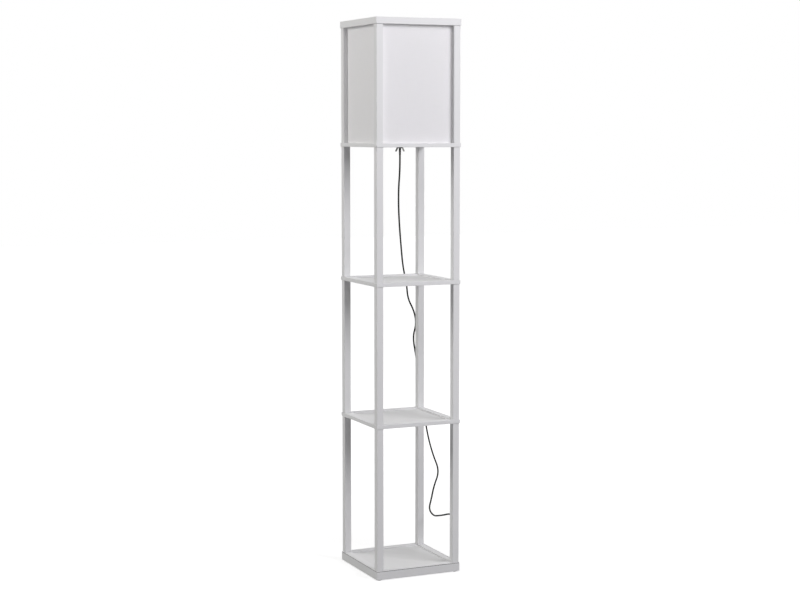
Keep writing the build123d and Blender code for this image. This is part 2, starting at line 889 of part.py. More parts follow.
blade_places = [(plug_y - blade_spacing / 2, plug_z), (plug_y + blade_spacing / 2, plug_z)]
with BuildPart() as plug:
    for x, wide, high in (
        (plug_rear_x, plug_rear_width, plug_rear_height),
        ((plug_rear_x + plug_front_x) / 2, plug_width, plug_height),
        (plug_front_x, plug_width, plug_height),
    ):
        with BuildSketch(Plane.YZ.offset(x)):
            with Locations((plug_y, plug_z)):
                RectangleRounded(wide, high, plug_round)
    loft(ruled=True)
    with BuildSketch(Plane.YZ.offset(plug_front_x)):
        with Locations(*blade_places):
            Rectangle(blade_thickness, blade_width)
    extrude(amount=blade_inset, mode=Mode.SUBTRACT)
save(plug, "plug_body")

with BuildPart() as blades:
    with BuildSketch(Plane.YZ.offset(plug_front_x - blade_length)):
        with Locations(*blade_places):
            Rectangle(blade_thickness, blade_width)
    extrude(amount=blade_length + blade_inset)
    chamfer(blades.edges().filter_by(Axis.Y).group_by(Axis.X)[0], blade_thickness)
    hole_x = plug_front_x - blade_length + blade_hole_setback
    with BuildSketch(Plane.XZ.offset(-(plug_y - blade_spacing))):
        with Locations((hole_x, plug_z)):
            Circle(blade_hole_radius)
    extrude(amount=-2 * blade_spacing, mode=Mode.SUBTRACT)
save(blades, "plug_blades")
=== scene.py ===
from math import cos, pi, radians, sin, tan

import bmesh
import bpy
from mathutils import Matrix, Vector


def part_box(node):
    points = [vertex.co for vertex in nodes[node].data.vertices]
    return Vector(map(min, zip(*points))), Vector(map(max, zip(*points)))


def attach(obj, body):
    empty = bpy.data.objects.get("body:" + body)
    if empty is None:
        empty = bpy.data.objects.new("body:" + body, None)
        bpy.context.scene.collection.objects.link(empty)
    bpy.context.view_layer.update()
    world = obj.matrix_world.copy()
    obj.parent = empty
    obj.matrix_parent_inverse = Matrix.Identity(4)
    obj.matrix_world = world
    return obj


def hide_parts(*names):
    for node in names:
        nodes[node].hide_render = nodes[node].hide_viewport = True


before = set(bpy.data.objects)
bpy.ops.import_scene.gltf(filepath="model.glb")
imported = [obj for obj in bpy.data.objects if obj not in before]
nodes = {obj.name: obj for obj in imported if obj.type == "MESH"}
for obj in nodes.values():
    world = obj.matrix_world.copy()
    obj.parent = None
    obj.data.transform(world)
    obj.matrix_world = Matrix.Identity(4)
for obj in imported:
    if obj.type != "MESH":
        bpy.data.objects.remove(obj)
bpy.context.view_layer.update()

# ---------------------------------------------------------------- the camera
# Just above the height of the lamp deck, nearly five metres off and round to the left of the
# front, with a long lens, so that the uprights stay almost parallel.
camera_turn = radians(-24.348)
camera_dip = radians(5.811)
camera_distance = 4.9004
circled_point = Vector((0.0002, -0.0001, 1.2917))
camera_data = bpy.data.cameras.new("camera")
camera_data.sensor_width = 36
camera_data.lens = 75.84
camera_data.clip_start = 0.05
camera_data.clip_end = 60
camera = bpy.data.objects.new("camera", camera_data)
camera.location = Vector((sin(camera_turn), -cos(camera_turn), 0)) * camera_distance + circled_point
camera.rotation_euler = (pi / 2 - camera_dip, 0, camera_turn)
bpy.context.collection.objects.link(camera)
bpy.context.scene.camera = camera
bpy.context.scene.view_settings.view_transform = "Standard"


# ---------------------------------------------------------------- supply cord, lamp to switch
# Round two-core mains lead in black PVC, 5 mm thick.  It hangs from the strain relief, passes
# behind the upper shelf and outside the rear right post, and swings forward to the floor.
cord_radius = 0.0025


def set_sockets(node, values):
    for label, value in values.items():
        node.inputs[label].default_value = value


def feed(tree, socket, value):
    """Give a socket its value, or link it to the socket that the value comes from."""
    if isinstance(value, bpy.types.NodeSocket):
        tree.links.new(value, socket)
    else:
        socket.default_value = value


def new_finish(name):
    finish = bpy.data.materials.new(name)
    finish.use_nodes = True
    tree = finish.node_tree
    tree.nodes.clear()
    output = tree.nodes.new("ShaderNodeOutputMaterial")
    surface = tree.nodes.new("ShaderNodeBsdfPrincipled")
    tree.links.new(surface.outputs["BSDF"], output.inputs["Surface"])
    return finish, tree, surface


def calc(tree, operation, *values, clamp=False):
    node = tree.nodes.new("ShaderNodeMath")
    node.operation = operation
    node.use_clamp = clamp
    for socket, value in zip(node.inputs, values):
        feed(tree, socket, value)
    return node.outputs[0]


def varied(tree, mask, spread, base):
    return calc(tree, "MULTIPLY_ADD", mask, spread, base)


def object_place(tree):
    return tree.nodes.new("ShaderNodeTexCoord").outputs["Object"]


def axes_of(tree, vector):
    split = tree.nodes.new("ShaderNodeSeparateXYZ")
    tree.links.new(vector, split.inputs[0])
    return split.outputs


def speckle(tree, place, scale, detail=2.0, roughness=0.5):
    noise = tree.nodes.new("ShaderNodeTexNoise")
    set_sockets(noise, {"Detail": detail, "Roughness": roughness})
    tree.links.new(place, noise.inputs["Vector"])
    feed(tree, noise.inputs["Scale"], scale)
    return noise.outputs["Fac"]


def tint(tree, share, first, second):
    mix = tree.nodes.new("ShaderNodeMix")
    mix.data_type = "RGBA"
    share_socket, first_socket, second_socket = mix.inputs[0], mix.inputs[6], mix.inputs[7]
    feed(tree, share_socket, share)
    feed(tree, first_socket, first)
    feed(tree, second_socket, second)
    return mix.outputs[2]


def add_relief(tree, surface, height, strength, depth):
    bump = tree.nodes.new("ShaderNodeBump")
    set_sockets(bump, {"Strength": strength, "Distance": depth})
    tree.links.new(height, bump.inputs["Height"])
    tree.links.new(bump.outputs["Normal"], surface.inputs["Normal"])


def new_skin(name, inputs):
    """An effect that gives a finish its colour, roughness and relief from place to place."""
    skin = bpy.data.node_groups.new(name, "ShaderNodeTree")
    for label, value in inputs.items():
        kind = "NodeSocketColor" if isinstance(value, tuple) else "NodeSocketFloat"
        socket = skin.interface.new_socket(name=label, in_out="INPUT", socket_type=kind)
        socket.default_value = value
    skin.interface.new_socket(name="Colour", in_out="OUTPUT", socket_type="NodeSocketColor")
    skin.interface.new_socket(name="Roughness", in_out="OUTPUT", socket_type="NodeSocketFloat")
    skin.interface.new_socket(name="Height", in_out="OUTPUT", socket_type="NodeSocketFloat")
    return skin, skin.nodes.new("NodeGroupInput").outputs, skin.nodes.new("NodeGroupOutput").inputs


def skinned_finish(name, skin, skin_values, relief, relief_depth, surface_values):
    finish, tree, surface = new_finish(name)
    coat = tree.nodes.new("ShaderNodeGroup")
    coat.node_tree = skin
    set_sockets(coat, skin_values)
    set_sockets(surface, surface_values)
    tree.links.new(coat.outputs["Colour"], surface.inputs["Base Color"])
    tree.links.new(coat.outputs["Roughness"], surface.inputs["Roughness"])
    add_relief(tree, surface, coat.outputs["Height"], relief, relief_depth)
    return finish


# Moulded or extruded plastic: a fine eggshell grain, clouding in the colour, and dust that
# settles on what faces up.
plastic_skin, skin_in, skin_out = new_skin(
    "plastic skin", {"Colour": (0.02, 0.02, 0.02, 1), "Grain Size": 0.0006, "Gloss Loss": 0.4, "Dust": 0.1}
)
skin_cloud_colour = (0.035, 0.035, 0.036, 1)
skin_cloud_share = 0.35
skin_cloud_dulling = 0.16
dust_colour = (0.45, 0.44, 0.42, 1)
skin_place = object_place(plastic_skin)
skin_scale = calc(plastic_skin, "DIVIDE", 1.0, skin_in["Grain Size"])
skin_grain = speckle(plastic_skin, skin_place, skin_scale, detail=1.5)
skin_cloud = speckle(plastic_skin, skin_place, scale=60.0, detail=4.0, roughness=0.6)
skin_facing = plastic_skin.nodes.new("ShaderNodeNewGeometry").outputs["Normal"]
skin_upward = axes_of(plastic_skin, skin_facing)["Z"]
skin_settled = calc(plastic_skin, "MULTIPLY", skin_upward, skin_in["Dust"], clamp=True)
skin_dust = calc(plastic_skin, "MULTIPLY", skin_settled, skin_cloud)
skin_mottle = calc(plastic_skin, "MULTIPLY", skin_cloud, skin_cloud_share)
skin_clouded = tint(plastic_skin, skin_mottle, skin_in["Colour"], skin_cloud_colour)
skin_dulled = varied(plastic_skin, skin_cloud, spread=skin_cloud_dulling, base=skin_in["Gloss Loss"])
skin_dusted = calc(plastic_skin, "ADD", skin_dulled, skin_dust, clamp=True)
plastic_skin.links.new(tint(plastic_skin, skin_dust, skin_clouded, dust_colour), skin_out["Colour"])
plastic_skin.links.new(skin_dusted, skin_out["Roughness"])
plastic_skin.links.new(skin_grain, skin_out["Height"])


def plastic_finish(name, colour, grain_size, gloss_loss, dust, relief=0.12, specular=0.5):
    relief_share = 0.4
    skin_values = {"Colour": (*colour, 1), "Grain Size": grain_size, "Gloss Loss": gloss_loss, "Dust": dust}
    surface_values = {"Specular IOR Level": specular}
    return skinned_finish(
        name, plastic_skin, skin_values, relief, grain_size * relief_share, surface_values
    )


cord_jacket = plastic_finish(
    "cord jacket, soft black PVC",
    colour=(0.006, 0.006, 0.0065),
    grain_size=0.0009,
    gloss_loss=0.5,
    dust=0.03,
    specular=0.2,
)


def lay_cord(name, points):
    line = bpy.data.curves.new(name, "CURVE")
    line.dimensions = "3D"
    line.resolution_u = 10
    line.bevel_depth = cord_radius
    line.bevel_resolution = 5
    line.use_fill_caps = True
    spline = line.splines.new("NURBS")
    spline.points.add(len(points) - 1)
    for point, place in zip(spline.points, points):
        point.co = (*place, 1)
    spline.order_u = 3
    spline.use_endpoint_u = True
    line.materials.append(cord_jacket)
    cord = bpy.data.objects.new(name, line)
    bpy.context.collection.objects.link(cord)
    return cord


lamp_lead = lay_cord(
    "lamp_lead",
    [
        (0, 0, 1.2152), (0, 0, 1.19), (0.003, 0.009, 1.158), (0.007, 0.025, 1.118),
        (0.019, 0.052, 1.06), (0.036, 0.082, 0.998), (0.055, 0.112, 0.934),
        (0.074, 0.142, 0.878), (0.089, 0.147, 0.822), (0.092, 0.146, 0.78),
        (0.113, 0.146, 0.742), (0.121, 0.146, 0.703), (0.108, 0.145, 0.662),
        (0.119, 0.145, 0.606), (0.128, 0.146, 0.544), (0.136, 0.145, 0.478),
        (0.149, 0.145, 0.411), (0.16, 0.144, 0.35), (0.175, 0.14, 0.294),
        (0.194, 0.134, 0.244), (0.17, 0.124, 0.2), (0.156, 0.112, 0.164),
        (0.143, 0.103, 0.136), (0.147, 0.078, 0.12), (0.146, 0.038, 0.129),
        (0.145, -0.002, 0.14), (0.145, -0.04, 0.152), (0.1445, -0.076, 0.148),
        (0.1435, -0.089, 0.114), (0.1435, -0.09, 0.078), (0.144, -0.089, 0.046),
        (0.1455, -0.079, 0.022), (0.1475, -0.06, 0.007), (0.148, -0.047, 0.0045),
        (0.148, -0.034, 0.0045),
    ],
)
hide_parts("cord_upper")
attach(lamp_lead, "lamp")

# ---------------------------------------------------------------- strain relief and plug boot
# Soft black sleeves moulded round the cord, tapered, with a row of grooves that lets them
# bend with it.
soft_black = plastic_finish(
    "soft black sleeve", colour=(0.016, 0.016, 0.017), grain_size=0.0007, gloss_loss=0.42, dust=0.15
)
sleeve_sides = 28


def grooves(count, first, pitch, radius, taper, width, slope, depth):
    """The stations of a row of grooves cut round a tapered sleeve."""
    stations = []
    for groove in range(count):
        start = first + groove * pitch
        outside = radius + start * taper
        stations += [
            (start, outside),
            (start + slope, outside - depth),
            (start + width - slope, outside - depth),
            (start + width, outside),
        ]
    return stations


def grooved_sleeve(name, start, along, stations, replaced):
    """A turned sleeve whose rings stand at (distance, radius) along a straight line."""
    side = along.orthogonal().normalized()
    other = along.cross(side)
    mesh = bmesh.new()
    rings = []
    for distance, radius in stations:
        ring = []
        for step in range(sleeve_sides):
            angle = 2 * pi * step / sleeve_sides
            outward = side * cos(angle) + other * sin(angle)
            ring.append(mesh.verts.new(start + along * distance + outward * radius))
        rings.append(ring)
    for ring, following in zip(rings, rings[1:]):
        for step in range(sleeve_sides):
            after = (step + 1) % sleeve_sides
            mesh.faces.new((ring[step], ring[after], following[after], following[step]))
    mesh.faces.new(list(reversed(rings[0])))
    mesh.faces.new(rings[-1])
    bmesh.ops.recalc_face_normals(mesh, faces=mesh.faces)
    data = bpy.data.meshes.new(name)
    mesh.to_mesh(data)
    mesh.free()
    for face in data.polygons:
        face.use_smooth = len(face.vertices) == 4
    data.materials.append(soft_black)
    sleeve = bpy.data.objects.new(name, data)
    bpy.context.collection.objects.link(sleeve)
    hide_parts(replaced)
    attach(sleeve, "lamp")
    return sleeve


relief_flange = [(0, 0.0056), (0.0003, 0.0061), (0.0017, 0.0061), (0.002, 0.0056), (0.0021, 0.0037)]
relief_grooves = grooves(
    6, first=0.0035, pitch=0.0029, radius=0.0037, taper=-0.036, width=0.0011, slope=0.0002, depth=0.0006
)
relief_end = [(0.0215, 0.0029), (0.022, 0.0027)]
grooved_sleeve(
    "strain_relief",
    start=Vector((0, 0, 1.2372)),
    along=Vector((0, 0, -1)),
    stations=relief_flange + relief_grooves + relief_end,
    replaced="cord_relief",
)

boot_tip = [(0, 0.0027), (0.0004, 0.0029)]
boot_grooves = grooves(
    5, first=0.0025, pitch=0.003, radius=0.0029, taper=0.105, width=0.0014, slope=0.0003, depth=0.0007
)
boot_root = [(0.0185, 0.0049), (0.02, 0.005)]
plug_sleeve = grooved_sleeve(
    "plug_sleeve",
    start=Vector((-0.053, 0.164, 0.0069)),
    along=Vector((-1, 0, 0)),
    stations=boot_tip + boot_grooves + boot_root,
    replaced="plug_boot",
)

# ---------------------------------------------------------------- tie round the hank
# A strip of black hook-and-loop tape, wrapped once round the waist of the put-away lead, with
# its end pressed down over its start.
tape_hooks, hooks_tree, hooks_surface = new_finish("hook-and-loop tape")
tape_black = (0.012, 0.012, 0.013, 1)
tape_grey = (0.05, 0.05, 0.052, 1)
hooks_fibre = speckle(hooks_tree, object_place(hooks_tree), scale=2600.0, detail=3.0, roughness=0.7)
hooks_tree.links.new(
    tint(hooks_tree, hooks_fibre, tape_black, tape_grey), hooks_surface.inputs["Base Color"]
)
hooks_tree.links.new(
    varied(hooks_tree, hooks_fibre, spread=0.2, base=0.75), hooks_surface.inputs["Roughness"]
)
add_relief(hooks_tree, hooks_surface, hooks_fibre, strength=0.8, depth=0.0003)
hooks_surface.inputs["Sheen Weight"].default_value = 0.3

# The tape's middle line, seen from the side as (y, z): over the top, round the four corners,
# and over its own start.
tape_low, tape_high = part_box("hank_tie")
tape_thickness = 0.001
tape_turn = 0.0035
tape_step = 0.001
tape_start_steps = 26
tape_corner_steps = 7
tape_end_steps = 24
near_side = tape_low.y + tape_thickness / 2
far_side = tape_high.y - tape_thickness / 2
underside = tape_low.z + tape_thickness / 2
topside = tape_high.z - tape_thickness / 2
tape_line = []
for step in range(tape_start_steps + 1):
    tape_line.append((far_side - tape_turn - tape_step * (tape_start_steps - step), topside))
for centre_y, centre_z, first_angle in (
    (far_side - tape_turn, topside - tape_turn, 90),
    (far_side - tape_turn, underside + tape_turn, 0),
    (near_side + tape_turn, underside + tape_turn, -90),
    (near_side + tape_turn, topside - tape_turn, -180),
):
    for step in range(1, tape_corner_steps + 1):
        angle = radians(first_angle - 90 * step / tape_corner_steps)
        tape_line.append((centre_y + tape_turn * cos(angle), centre_z + tape_turn * sin(angle)))
overlap_rise = tape_thickness * 1.1
rise_first_step = 2
rise_steps = 4
for step in range(1, tape_end_steps + 1):
    risen = min(1, max(0, (step - rise_first_step) / rise_steps))
    tape_line.append((near_side + tape_turn + tape_step * step, topside + risen * overlap_rise))

# It sinks a little between the runs of the lead, and its two ends have clipped corners.
tape_sag = 0.00035
run_place = 0.1695
run_spacing = 0.0071
clipped = 0.0012
tape_margin = 0.0015
tape_middle = tape_low.x + 0.006
tape_mesh = bmesh.new()
tape_rows = []
for step, (y, z) in enumerate(tape_line):
    on_top = z > topside - 0.0001
    sag = tape_sag * (0.5 - 0.5 * cos(2 * pi * (y - run_place) / run_spacing)) if on_top else 0
    short = clipped if step in (0, len(tape_line) - 1) else 0
    row_places = (
        tape_low.x + short,
        tape_low.x + tape_margin,
        tape_middle,
        tape_high.x - tape_margin,
        tape_high.x - short,
    )
    tape_rows.append([tape_mesh.verts.new((x, y, z - sag)) for x in row_places])
for row, following in zip(tape_rows, tape_rows[1:]):
    for left, right, after_right, after_left in zip(row, row[1:], following[1:], following):
        tape_mesh.faces.new((left, right, after_right, after_left))
tape_data = bpy.data.meshes.new("tie_strap")
tape_mesh.to_mesh(tape_data)
tape_mesh.free()
tape_data.materials.append(tape_hooks)
tie_strap = bpy.data.objects.new("tie_strap", tape_data)
bpy.context.collection.objects.link(tie_strap)
tape_body = tie_strap.modifiers.new("thickness", "SOLIDIFY")
tape_body.thickness = tape_thickness
tape_body.offset = 0
tape_edge = tie_strap.modifiers.new("soft edge", "BEVEL")
tape_edge.width = 0.00022
tape_edge.segments = 2
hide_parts("hank_tie")
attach(tie_strap, "lamp")

# ---------------------------------------------------------------- supply cord, switch to plug
# The rest of the same lead.  It rounds the base on the floor and is put away behind it in a
# flat hank: one layer wound in, a climb along one run, and one layer wound out again.
hank_middle = Vector((0.058, 0.1615))
hank_bulge = 0.0375
fold_radius = 0.015
waist_half = 0.008
waist_reach = 0.012
fold_step = 0.0062
waist_step = 0.0071
under_layer = 0.0037
over_layer = 0.0092
turns_in = 1.5
points_per_turn = 16
fold_corner = 1 / cos(pi / 8)


def hank_point(index, turns_out, height):
    """One point of a loop with two round folds and two runs that draw in at the waist."""
    fold = fold_radius + turns_out * fold_step
    waist = waist_half + turns_out * waist_step
    run_end = hank_bulge - fold * tan(pi / 8)
    far_fold = [
        (fold * fold_corner * sin(angle), fold * fold_corner * cos(angle))
        for angle in (pi / 8, 3 * pi / 8, 5 * pi / 8, 7 * pi / 8)
    ]
    run = [(run_end, fold), (waist_reach, waist), (-waist_reach, waist), (-run_end, fold)]
    left = [(-hank_bulge - x, y) for x, y in far_fold]
    back = [(-x, -y) for x, y in run]
    right = [(hank_bulge + x, -y) for x, y in far_fold]
    x, y = (run + left + back + right)[index % points_per_turn]
    return (hank_middle.x + x, hank_middle.y + y, height)


wound_in = round(turns_in * points_per_turn)
climb_shares = (0.3, 0.7)
hank_points = []
for index in range(wound_in + 1):
    hank_points.append(hank_point(index, (wound_in - index) / points_per_turn, under_layer))
for index, share in enumerate(climb_shares, start=wound_in + 1):
    hank_points.append(hank_point(index, 0, under_layer + (over_layer - under_layer) * share))
for step in range(wound_in + 1):
    index = wound_in + 1 + len(climb_shares) + step
    hank_points.append(hank_point(index, step / points_per_turn, over_layer))

plug_lead = lay_cord(
    "plug_lead",
    [
        (0.148, 0.022, 0.0045), (0.148, 0.044, 0.0045), (0.149, 0.088, 0.0028),
        (0.149, 0.14, 0.0026), (0.145, 0.166, 0.0028), (0.124, 0.1858, 0.0037),
        *hank_points,
        (-0.006, 0.1858, 0.0092), (-0.032, 0.164, 0.0069), (-0.053, 0.164, 0.0069),
    ],
)
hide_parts("cord_lower", "cord_hank", "cord_tail")
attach(plug_lead, "lamp")

# ---------------------------------------------------------------- wooden frame
# Posts, mitred rails and the base apron: fibreboard mouldings in satin white lacquer.  The
# posts stand between the boards on studs, with a fine bevelled seam at each joint.
lacquer_skin, lacquer_in, lacquer_out = new_skin(
    "lacquer skin",
    {
        "Colour": (0.8, 0.8, 0.8, 1),
        "Shade Colour": (0.7, 0.7, 0.7, 1),
        "Peel Size": 0.003,
        "Grain Share": 0.3,
        "Mitred": 0.0,
        "Gloss Loss": 0.35,
    },
)
lacquer_place = object_place(lacquer_skin)
lacquer_axes = axes_of(lacquer_skin, lacquer_place)
from_middle_x = calc(lacquer_skin, "ABSOLUTE", lacquer_axes["X"])
from_middle_y = calc(lacquer_skin, "ABSOLUTE", lacquer_axes["Y"])

# The hairline of a mitre, where the rails of a frame meet on its diagonals.
mitre_half_width = 0.00022
mitre_share = 0.45
mitre_depth = 1.5
mitre_colour = (0.3, 0.3, 0.3, 1)
off_diagonal = calc(lacquer_skin, "SUBTRACT", from_middle_x, from_middle_y)
mitre_gap = calc(lacquer_skin, "ABSOLUTE", off_diagonal)
mitre_line = calc(lacquer_skin, "LESS_THAN", mitre_gap, mitre_half_width)
mitre_mark = calc(lacquer_skin, "MULTIPLY", mitre_line, lacquer_in["Mitred"])

# Grain under the lacquer, drawn out along each rail, or along the post where nothing is mitred.
grain_scale = 420.0
grain_stretch = 0.06
side_rail = calc(lacquer_skin, "GREATER_THAN", from_middle_x, from_middle_y)
squash_x = varied(lacquer_skin, side_rail, spread=1 - grain_stretch, base=grain_stretch)
squash_y = calc(lacquer_skin, "SUBTRACT", 1 + grain_stretch, squash_x)
rail_place = lacquer_skin.nodes.new("ShaderNodeCombineXYZ")
for axis, squash in (("X", squash_x), ("Y", squash_y)):
    squashed = calc(lacquer_skin, "MULTIPLY", lacquer_axes[axis], squash)
    lacquer_skin.links.new(squashed, rail_place.inputs[axis])
lacquer_skin.links.new(lacquer_axes["Z"], rail_place.inputs["Z"])


def drawn_out(tree, place, shares):
    stretch = tree.nodes.new("ShaderNodeVectorMath")
    stretch.operation = "MULTIPLY"
    tree.links.new(place, stretch.inputs[0])
    stretch.inputs[1].default_value = shares
    return stretch.outputs[0]


post_place = drawn_out(lacquer_skin, lacquer_place, (1, 1, grain_stretch))
grain_on_rail = speckle(lacquer_skin, rail_place.outputs[0], grain_scale, detail=4.0, roughness=0.6)
grain_on_post = speckle(lacquer_skin, post_place, grain_scale, detail=4.0, roughness=0.6)
grain_step = calc(lacquer_skin, "SUBTRACT", grain_on_rail, grain_on_post)
wood_grain = varied(lacquer_skin, lacquer_in["Mitred"], spread=grain_step, base=grain_on_post)

# Orange peel and broad clouding of the sprayed coat.
peel_scale = calc(lacquer_skin, "DIVIDE", 1.0, lacquer_in["Peel Size"])
peel = speckle(lacquer_skin, lacquer_place, peel_scale, detail=2.0)
cloud = speckle(lacquer_skin, lacquer_place, scale=9.0, detail=3.0, roughness=0.55)
cloud_weight = 0.4
grain_weight = 0.3
shade_most = 0.5
cloud_dulling = 0.16
peel_dulling = 0.06
cloud_shading = calc(lacquer_skin, "MULTIPLY", cloud, cloud_weight)
shading = varied(lacquer_skin, wood_grain, spread=grain_weight, base=cloud_shading)
shade_share = calc(lacquer_skin, "MULTIPLY", shading, shade_most)
clouded = tint(lacquer_skin, shade_share, lacquer_in["Colour"], lacquer_in["Shade Colour"])
mitre_tint = calc(lacquer_skin, "MULTIPLY", mitre_mark, mitre_share)
mitre_cut = calc(lacquer_skin, "MULTIPLY", mitre_mark, mitre_depth)
dulled = varied(lacquer_skin, cloud, spread=cloud_dulling, base=lacquer_in["Gloss Loss"])
dulled_by_peel = varied(lacquer_skin, peel, spread=peel_dulling, base=dulled)
grained = varied(lacquer_skin, wood_grain, spread=lacquer_in["Grain Share"], base=peel)
lacquer_skin.links.new(tint(lacquer_skin, mitre_tint, clouded, mitre_colour), lacquer_out["Colour"])
lacquer_skin.links.new(dulled_by_peel, lacquer_out["Roughness"])
lacquer_skin.links.new(calc(lacquer_skin, "SUBTRACT", grained, mitre_cut), lacquer_out["Height"])


def lacquer_finish(name, colour, shade, peel_size, grain_share, mitred, gloss_loss, specular):
    skin_values = {
        "Colour": (*colour, 1),
        "Shade Colour": (*shade, 1),
        "Peel Size": peel_size,
        "Grain Share": grain_share,
        "Mitred": mitred,
        "Gloss Loss": gloss_loss,
    }
    surface_values = {"Specular IOR Level": specular}
    return skinned_finish(
        name, lacquer_skin, skin_values, relief=0.22, relief_depth=0.00035, surface_values=surface_values
    )


def sprayed_white(name, mitred):
    return lacquer_finish(
        name,
        colour=(0.80, 0.80, 0.805),
        shade=(0.755, 0.755, 0.76),
        peel_size=0.0028,
        grain_share=0.5,
        mitred=mitred,
        gloss_loss=0.42,
        specular=0.4,
    )


def dress(node, finish):
    piece = nodes[node]
    piece.data.materials.clear()
    piece.data.materials.append(finish)


corners = ("front_left", "front_right", "rear_right", "rear_left")
post_lacquer = sprayed_white("white lacquer on posts", mitred=0.0)
rail_lacquer = sprayed_white("white lacquer on mitred rails", mitred=1.0)
for tier in ("lower", "middle", "upper", "lamp"):
    for corner in corners:
        dress(f"{tier}_post_{corner}", post_lacquer)
for ring in ("base_board_frame", "lower_shelf_frame", "upper_shelf_frame", "lamp_deck_frame", "top_frame"):
    dress(ring, rail_lacquer)

# The groove under the apron's top bead is coloured near-black inside: painted shade that deepens the shadow
# in the groove.
apron_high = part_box("base_apron")[1]
groove_middle = apron_high.z - 0.002
groove_half_height = 0.0007
inside_face = apron_high.x - 0.0002
# Near-black painted shade for the inside of the groove.
groove_shade_paint = (0.035, 0.033, 0.03, 1)
apron_lacquer = sprayed_white("white lacquer on base apron", mitred=1.0)
apron_tree = apron_lacquer.node_tree
apron_colour = apron_tree.nodes["Principled BSDF"].inputs["Base Color"]
apron_painted = apron_colour.links[0].from_socket
apron_axes = axes_of(apron_tree, object_place(apron_tree))
out_along_x = calc(apron_tree, "ABSOLUTE", apron_axes["X"])
out_along_y = calc(apron_tree, "ABSOLUTE", apron_axes["Y"])
outward = calc(apron_tree, "MAXIMUM", out_along_x, out_along_y)
sunk = calc(apron_tree, "LESS_THAN", outward, inside_face)
at_groove = calc(apron_tree, "COMPARE", apron_axes["Z"], groove_middle, groove_half_height)
painted_groove_shade = calc(apron_tree, "MULTIPLY", sunk, at_groove)
# Paint the shade into the groove: near-black where the surface lies inside the groove.
apron_tree.links.new(tint(apron_tree, painted_groove_shade, apron_painted, groove_shade_paint), apron_colour)
dress("base_apron", apron_lacquer)

# ---------------------------------------------------------------- board panels
# Thin fibreboard panels let into the frames from below, roller-coated white: smoother than the
# sprayed mouldings around them, and a little more matt.
panel_lacquer = lacquer_finish(
    "white lacquer on panels",
    colour=(0.79, 0.79, 0.79),
    shade=(0.74, 0.74, 0.74),
    peel_size=0.0045,
    grain_share=0.15,
    mitred=0.0,
    gloss_loss=0.52,
    specular=0.25,
)
for panel in ("base_board_panel", "lower_shelf_panel", "upper_shelf_panel", "lamp_deck_panel"):
    dress(panel, panel_lacquer)

# ---------------------------------------------------------------- shade
# Four stiff sheets with a linen weave pressed into them, off-white and matt.  Their edges
# slide into grooves in the lamp posts, the deck and the top frame.
shade_linen, linen_tree, linen_surface = new_finish("pressed linen shade sheet")
thread_pitch = 0.0011
slubs_per_metre = 28.0
thread_wander = 2.2
linen_light = (0.91, 0.903, 0.915, 1)
linen_dark = (0.83, 0.822, 0.833, 1)
linen_axes = axes_of(linen_tree, object_place(linen_tree))
across = calc(linen_tree, "ADD", linen_axes["X"], linen_axes["Y"])
upward = linen_axes["Z"]


def thread_row(position, along):
    """Threads side by side, each of them thick and thin by turns along its length."""
    counted = calc(linen_tree, "MULTIPLY", position, 1 / thread_pitch)
    drawn = calc(linen_tree, "MULTIPLY", along, slubs_per_metre)
    place = linen_tree.nodes.new("ShaderNodeCombineXYZ")
    linen_tree.links.new(counted, place.inputs["X"])
    linen_tree.links.new(drawn, place.inputs["Y"])
    slub = speckle(linen_tree, place.outputs[0], scale=0.9, detail=3.0, roughness=0.6)
    phase = calc(linen_tree, "MULTIPLY", position, pi / thread_pitch)
    wander = varied(linen_tree, slub, spread=thread_wander, base=phase)
    ridge = calc(linen_tree, "ABSOLUTE", calc(linen_tree, "SINE", wander))
    return calc(linen_tree, "MULTIPLY", ridge, slub), slub


warp, warp_slub = thread_row(across, upward)
weft, weft_slub = thread_row(upward, across)
weave = calc(linen_tree, "MAXIMUM", warp, weft)
slub_share = calc(linen_tree, "MULTIPLY", calc(linen_tree, "ADD", warp_slub, weft_slub), 0.5)
linen_tree.links.new(
    tint(linen_tree, slub_share, linen_light, linen_dark), linen_surface.inputs["Base Color"]
)
linen_tree.links.new(
    varied(linen_tree, weave, spread=-0.2, base=0.92), linen_surface.inputs["Roughness"]
)
add_relief(linen_tree, linen_surface, weave, strength=0.8, depth=0.0003)
set_sockets(
    linen_surface,
    {
        "Specular IOR Level": 0.25,
        "Sheen Weight": 0.08,
        "Subsurface Weight": 0.35,
        "Subsurface Radius": (1, 1, 0.95),
        "Subsurface Scale": 0.0012,
    },
)
for side in ("front", "right", "rear", "left"):
    dress(f"shade_panel_{side}", shade_linen)

# ---------------------------------------------------------------- lampholder
# Black moulded holder: a domed cap with a hollow neck and a screwed-on shell.  A strip-steel
# spring bracket under it grips the edge of the deck's hole.
metal_skin, metal_in, metal_out = new_skin(
    "metal skin", {"Colour": (0.6, 0.6, 0.6, 1), "Tarnish Colour": (0.3, 0.29, 0.27, 1), "Gloss Loss": 0.3}
)
metal_place = object_place(metal_skin)
rolled_place = drawn_out(metal_skin, metal_place, (1, 0.05, 1))
rolled = speckle(metal_skin, rolled_place, scale=5200.0, detail=3.0)
tarnish = speckle(metal_skin, metal_place, scale=260.0, detail=5.0, roughness=0.65)
tarnish_most = 0.5
tarnish_share = calc(metal_skin, "MULTIPLY", tarnish, tarnish_most)
tarnished = tint(metal_skin, tarnish_share, metal_in["Colour"], metal_in["Tarnish Colour"])
worn = varied(metal_skin, tarnish, spread=0.2, base=metal_in["Gloss Loss"])
metal_skin.links.new(tarnished, metal_out["Colour"])
metal_skin.links.new(varied(metal_skin, rolled, spread=0.1, base=worn), metal_out["Roughness"])
metal_skin.links.new(rolled, metal_out["Height"])


def metal_finish(name, colour, tarnish_colour, gloss_loss):
    skin_values = {
        "Colour": (*colour, 1), "Tarnish Colour": (*tarnish_colour, 1), "Gloss Loss": gloss_loss
    }
    return skinned_finish(
        name, metal_skin, skin_values, relief=0.1, relief_depth=0.0001, surface_values={"Metallic": 1.0}
    )


